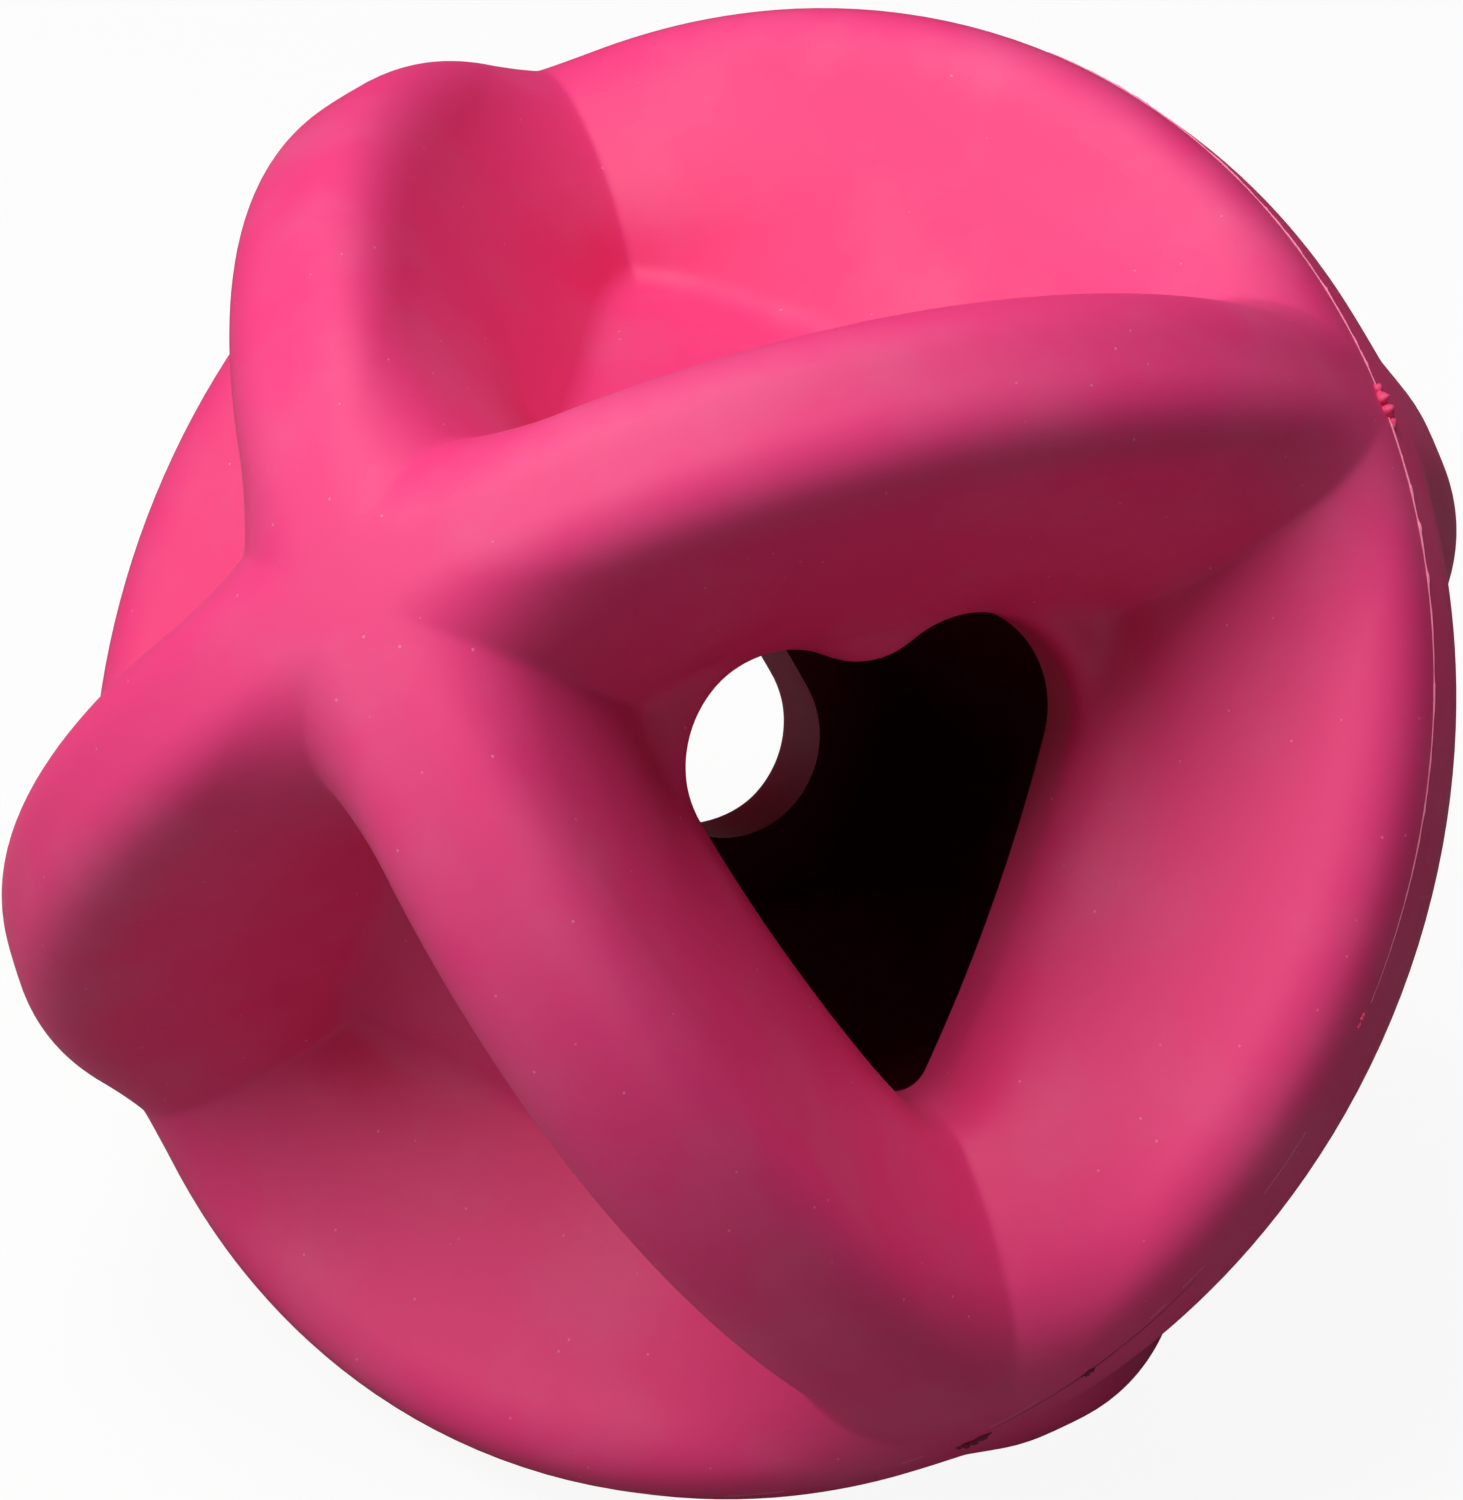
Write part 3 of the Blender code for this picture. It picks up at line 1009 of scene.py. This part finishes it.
@dataclass
class SeamFlash:
    """What the mould's parting left on the seam: a fine ragged line and torn scraps.

    Angles run round the seam from the hub on the mould's Y to that on its Z. The offset
    is the line's distance from the seam's plane, towards the front.
    """

    radius: float = 40.0 * MM
    offset: float = 1.25 * MM
    foot: float = 0.15 * MM
    width: float = 0.07 * MM
    least_height: float = 0.01 * MM
    most_height: float = 0.10 * MM
    points: int = 1500
    thread_start: float = math.radians(52.0)
    thread_end: float = math.radians(126.0)
    fade: float = math.radians(12.0)
    raggedness: tuple[float, float] = (0.55, 0.45)
    bead_rarity: float = 0.86
    bead_rise: float = 1.6
    gap_share: float = 0.62
    gap_relief: float = 0.7
    sunk_share: float = 0.8
    scrap_points: int = 40
    scrap_taper: float = 0.05
    torn: tuple[Scrap, ...] = (
        Scrap(86.6, 90.3, 1.2 * MM, 0.42 * MM, 0.50 * MM, 21),
        Scrap(41.6, 43.0, 1.5 * MM, 0.10 * MM, 0.14 * MM, 31),
    )
    # The trimmed bits and the low line among them get a dark finish, which is painted shade of a groove
    # along the seam.
    trimmed: tuple[Scrap, ...] = (
        Scrap(-2.6, 0.4, 0.35 * MM, 0.26 * MM, 0.22 * MM, 41),
        Scrap(8.7, 10.0, 0.80 * MM, 0.16 * MM, 0.20 * MM, 51),
        Scrap(0.5, 20.0, 0.78 * MM, 0.02 * MM, 0.10 * MM, 61),
    )

    def line(
        self, start: float, end: float, count: int, offset: float
    ) -> tuple[np.ndarray, np.ndarray, np.ndarray]:
        """Return points on the crown along the seam: a circle at an offset on the sphere.

        Args:
            start: First angle in radians.
            end: Last angle.
            count: Number of points.
            offset: Distance from the seam's plane.

        Returns:
            The points, their outward normals and their angles.
        """
        turn = np.linspace(start, end, count)
        ring = math.sqrt(self.radius**2 - offset**2)
        aside = np.full(count, offset)
        points = np.stack([aside, ring * np.cos(turn), ring * np.sin(turn)], axis=-1)
        return points, unit(points), turn

    def thread(self) -> Body:
        """Return the whole ring's flash, tallest on the stretch that was not trimmed.

        Its height is a ragged mix of a fine and a coarse wander, with a bead here and
        there, scaled by how far the place is inside the stretch. Where a gap falls, and
        gaps are rarer inside the stretch, the top sinks below the rubber's surface.

        Returns:
            Points and faces of one ribbon.
        """
        count = self.points
        seam_start, seam_end = math.radians(-200.0), math.radians(160.0)
        points, outward, turn = self.line(seam_start, seam_end, count, self.offset)
        inside = np.minimum(turn - self.thread_start, self.thread_end - turn) / self.fade
        stretch = np.clip(0.5 + inside, 0.0, 1.0)
        fine, coarse = self.raggedness
        ragged = fine * wander(count, step=3, seed=5) + coarse * wander(count, step=17, seed=6)
        beads = np.where(wander(count, step=2, seed=7) > self.bead_rarity, self.bead_rise, 1.0)
        span = self.most_height - self.least_height
        height = self.least_height + span * stretch * ragged * beads
        gaps = wander(count, step=9, seed=8) < self.gap_share - self.gap_relief * stretch
        height = np.where(gaps, -self.sunk_share * self.foot, height)
        least_width, more_width = 0.7, 0.6
        width = self.width * (least_width + more_width * ragged)
        return ribbon(points, outward, np.full(count, self.foot), height, width)

    def scrap(self, bit: Scrap) -> Body:
        """Return a scrap that stands on the seam between its two angles.

        Its height and width follow the root of half a sine wave, made ragged, and its
        line sways from side to side.

        Args:
            bit: The scrap's place and size.

        Returns:
            Points and faces of one ribbon.
        """
        count = self.scrap_points
        start, end = math.radians(bit.start), math.radians(bit.end)
        points, outward, _ = self.line(start, end, count, bit.offset)
        ragged = wander(count, step=3, seed=bit.seed)
        arch = np.sqrt(np.sin(np.linspace(self.scrap_taper, math.pi - self.scrap_taper, count)))
        sway = (wander(count, step=5, seed=bit.seed + 1) - 0.5) * bit.width
        points = points + np.array([1.0, 0.0, 0.0]) * sway[:, None]
        least_height, least_width = 0.35, 0.5
        height = bit.height * arch * (least_height + ragged)
        width = bit.width * arch * (least_width + ragged)
        return ribbon(points, outward, np.full(count, self.foot), height, width)

    def build(self, name: str, parts: list[Body]) -> bpy.types.Object:
        """Build one object of several ribbons.

        Args:
            name: Name of the piece.
            parts: Points and faces of each ribbon, in the mould's axes.

        Returns:
            The finished object, in the attitude in which the ball rests.
        """
        points, faces, total = [], [], 0
        for part_points, part_faces in parts:
            points.append(part_points)
            faces += [group + total for group in part_faces]
            total += len(part_points)
        mesh = make_mesh(name, np.concatenate(points) @ mould_to_world().T, faces)
        piece = bpy.data.objects.new(name, mesh)
        bpy.context.scene.collection.objects.link(piece)
        return piece


class SoftBox(Enum):
    """The soft boxes: azimuth and elevation in degrees, width in metres, power in watts.

    The azimuth runs from the front, that is from -Y, towards the right, which is +X.
    """

    KEY = (272.0, 60.0, 0.42, 2.4)
    TOP = (0.0, 90.0, 0.42, 1.35)
    SIDE = (268.0, 25.0, 0.34, 0.85)
    FRONT = (0.0, 0.0, 0.34, 0.4)


@dataclass
class Studio:
    """The pale floor, the soft lights and the photograph's camera."""

    azimuth: float = math.radians(-24.243)
    elevation: float = math.radians(30.139)
    roll: float = math.radians(1.085)
    distance: float = 303.94 * MM
    aside: tuple[float, float] = (-0.3655 * MM, -0.4043 * MM)
    lens: float = 136.983
    sensor_width: float = 36.0
    light_distance: float = 0.6
    floor_half_width: float = 1.5
    floor_gap: float = 0.05 * MM
    room_level: float = 0.01

    def towards(self, azimuth: float, elevation: float) -> Vector:
        """Return the unit direction of an azimuth, from the front, and an elevation."""
        level = math.cos(elevation)
        return Vector((math.sin(azimuth) * level, -math.cos(azimuth) * level, math.sin(elevation)))

    def camera(self) -> bpy.types.Object:
        """Set up the camera, which looks at the ball from above and from its left.

        Returns:
            The scene's camera.
        """
        data = bpy.data.cameras.new("camera")
        data.lens = self.lens
        data.sensor_width = self.sensor_width
        camera = bpy.data.objects.new("camera", data)
        towards = self.towards(self.azimuth, self.elevation)
        turn = towards.to_track_quat("Z", "Y").to_matrix() @ Matrix.Rotation(self.roll, 3, "Z")
        right, up, back = turn.col[0], turn.col[1], turn.col[2]
        place = back * self.distance + right * self.aside[0] + up * self.aside[1]
        camera.matrix_world = Matrix.Translation(place) @ turn.to_4x4()
        bpy.context.scene.collection.objects.link(camera)
        bpy.context.scene.camera = camera
        return camera

    def light(self, box: SoftBox) -> None:
        """Add a square soft box that faces the ball.

        Args:
            box: Its direction, width and power.
        """
        azimuth, elevation, size, power = box.value
        towards = self.towards(math.radians(azimuth), math.radians(elevation))
        data = bpy.data.lights.new(box.name.lower(), "AREA")
        data.size = size
        data.energy = power
        lamp = bpy.data.objects.new(box.name.lower(), data)
        lamp.location = towards * self.light_distance
        lamp.rotation_euler = towards.to_track_quat("Z", "Y").to_euler()
        bpy.context.scene.collection.objects.link(lamp)

    def floor(self, lowest: float, shade: bpy.types.Material) -> bpy.types.Object:
        """Lay the pale floor just under the ball, wide enough to fill the view.

        Args:
            lowest: Height of the ball's lowest point.
            shade: The floor's finish.

        Returns:
            The floor, which is staging.
        """
        half, height = self.floor_half_width, lowest - self.floor_gap
        signs = ((-1.0, -1.0), (1.0, -1.0), (1.0, 1.0), (-1.0, 1.0))
        corners = np.array([[x * half, y * half, height] for x, y in signs])
        mesh = make_mesh("studio_floor", corners, [np.array([[0, 1, 2, 3]])])
        piece = bpy.data.objects.new("studio_floor", mesh)
        piece.data.materials.append(shade)
        bpy.context.scene.collection.objects.link(piece)
        piece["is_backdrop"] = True
        return piece

    def world(self) -> None:
        """Show white to the camera, and light the ball evenly and very faintly."""
        world = bpy.data.worlds.new("studio")
        bpy.context.scene.world = world
        world.use_nodes = True
        tree = world.node_tree
        tree.nodes.clear()
        path = add_node(tree, "ShaderNodeLightPath")
        room = add_node(tree, "ShaderNodeBackground", inputs={"Color": WHITE, "Strength": self.room_level})
        white = add_node(tree, "ShaderNodeBackground", inputs={"Color": WHITE, "Strength": 1.0})
        mix = add_node(
            tree,
            "ShaderNodeMixShader",
            inputs={0: path.outputs["Is Camera Ray"], 1: room.outputs[0], 2: white.outputs[0]},
        )
        add_node(tree, "ShaderNodeOutputWorld", inputs={"Surface": mix.outputs[0]})


def finish_piece(
    piece: bpy.types.Object, material: bpy.types.Material, nodes: tuple[str, ...]
) -> None:
    """Dress a piece, seat it on the body and let it stand for its CAD nodes.

    Args:
        piece: The new piece.
        material: Its finish.
        nodes: The CAD nodes that it stands for.
    """
    piece.data.materials.append(material)
    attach(piece, BODY)
    if nodes:
        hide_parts(*nodes)
    LOG.info("%s: %d points, %d faces", piece.name, len(piece.data.vertices), len(piece.data.polygons))


def main() -> None:
    """Build the ball and the studio, and report each piece."""
    logging.basicConfig(level=logging.INFO, format="%(name)s: %(message)s")
    cad_box = [list(corner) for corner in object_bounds()]
    bpy.context.scene.view_settings.view_transform = "Standard"
    rubber = MouldedNaturalRubber().make()
    # The hollow gets a darker copy of the rubber: painted shade, for the shade that the hollow lies in.
    hollow_painted_shade = HollowPaintedShadeRubber().make()
    shells = HalfShells()
    closed = shells.closed_surface()
    for side, name, nodes in (
        (Side.FRONT, "front_half_moulding", ("front_half_shell",)),
        (Side.REAR, "rear_half_moulding", ("rear_half_shell",)),
    ):
        piece = shells.build(side, closed, shells.heart_surface(side), name)
        finish_piece(piece, rubber, nodes)
        piece.data.materials.append(hollow_painted_shade)
    flash = SeamFlash()
    thread = flash.build("seam_flash", [flash.thread()])
    # The thread's pale finish is thin, paler flash, with a painted highlight where its edge catches light.
    flash_highlight_finish = FlashRubber("thin_flash_with_painted_highlight", "#FF8FB6").make()
    finish_piece(thread, flash_highlight_finish, ("seam_bond_ring",))
    torn = flash.build("seam_torn_scraps", [flash.scrap(bit) for bit in flash.torn])
    finish_piece(torn, FlashRubber("torn_scrap_rubber", "#FF4C86").make(), ())
    # The trimmed bits' dark finish is painted shade of the groove along the seam.
    dark_groove_bits = flash.build("seam_groove_shade_bits", [flash.scrap(bit) for bit in flash.trimmed])
    finish_piece(dark_groove_bits, FlashRubber("seam_groove_painted_shade", "#8C1740").make(), ())
    studio = Studio()
    studio.floor(cad_box[0][2], PaleSweep().make())
    studio.camera()
    for box in SoftBox:
        studio.light(box)
    studio.world()


if __name__ == "__main__":
    main()
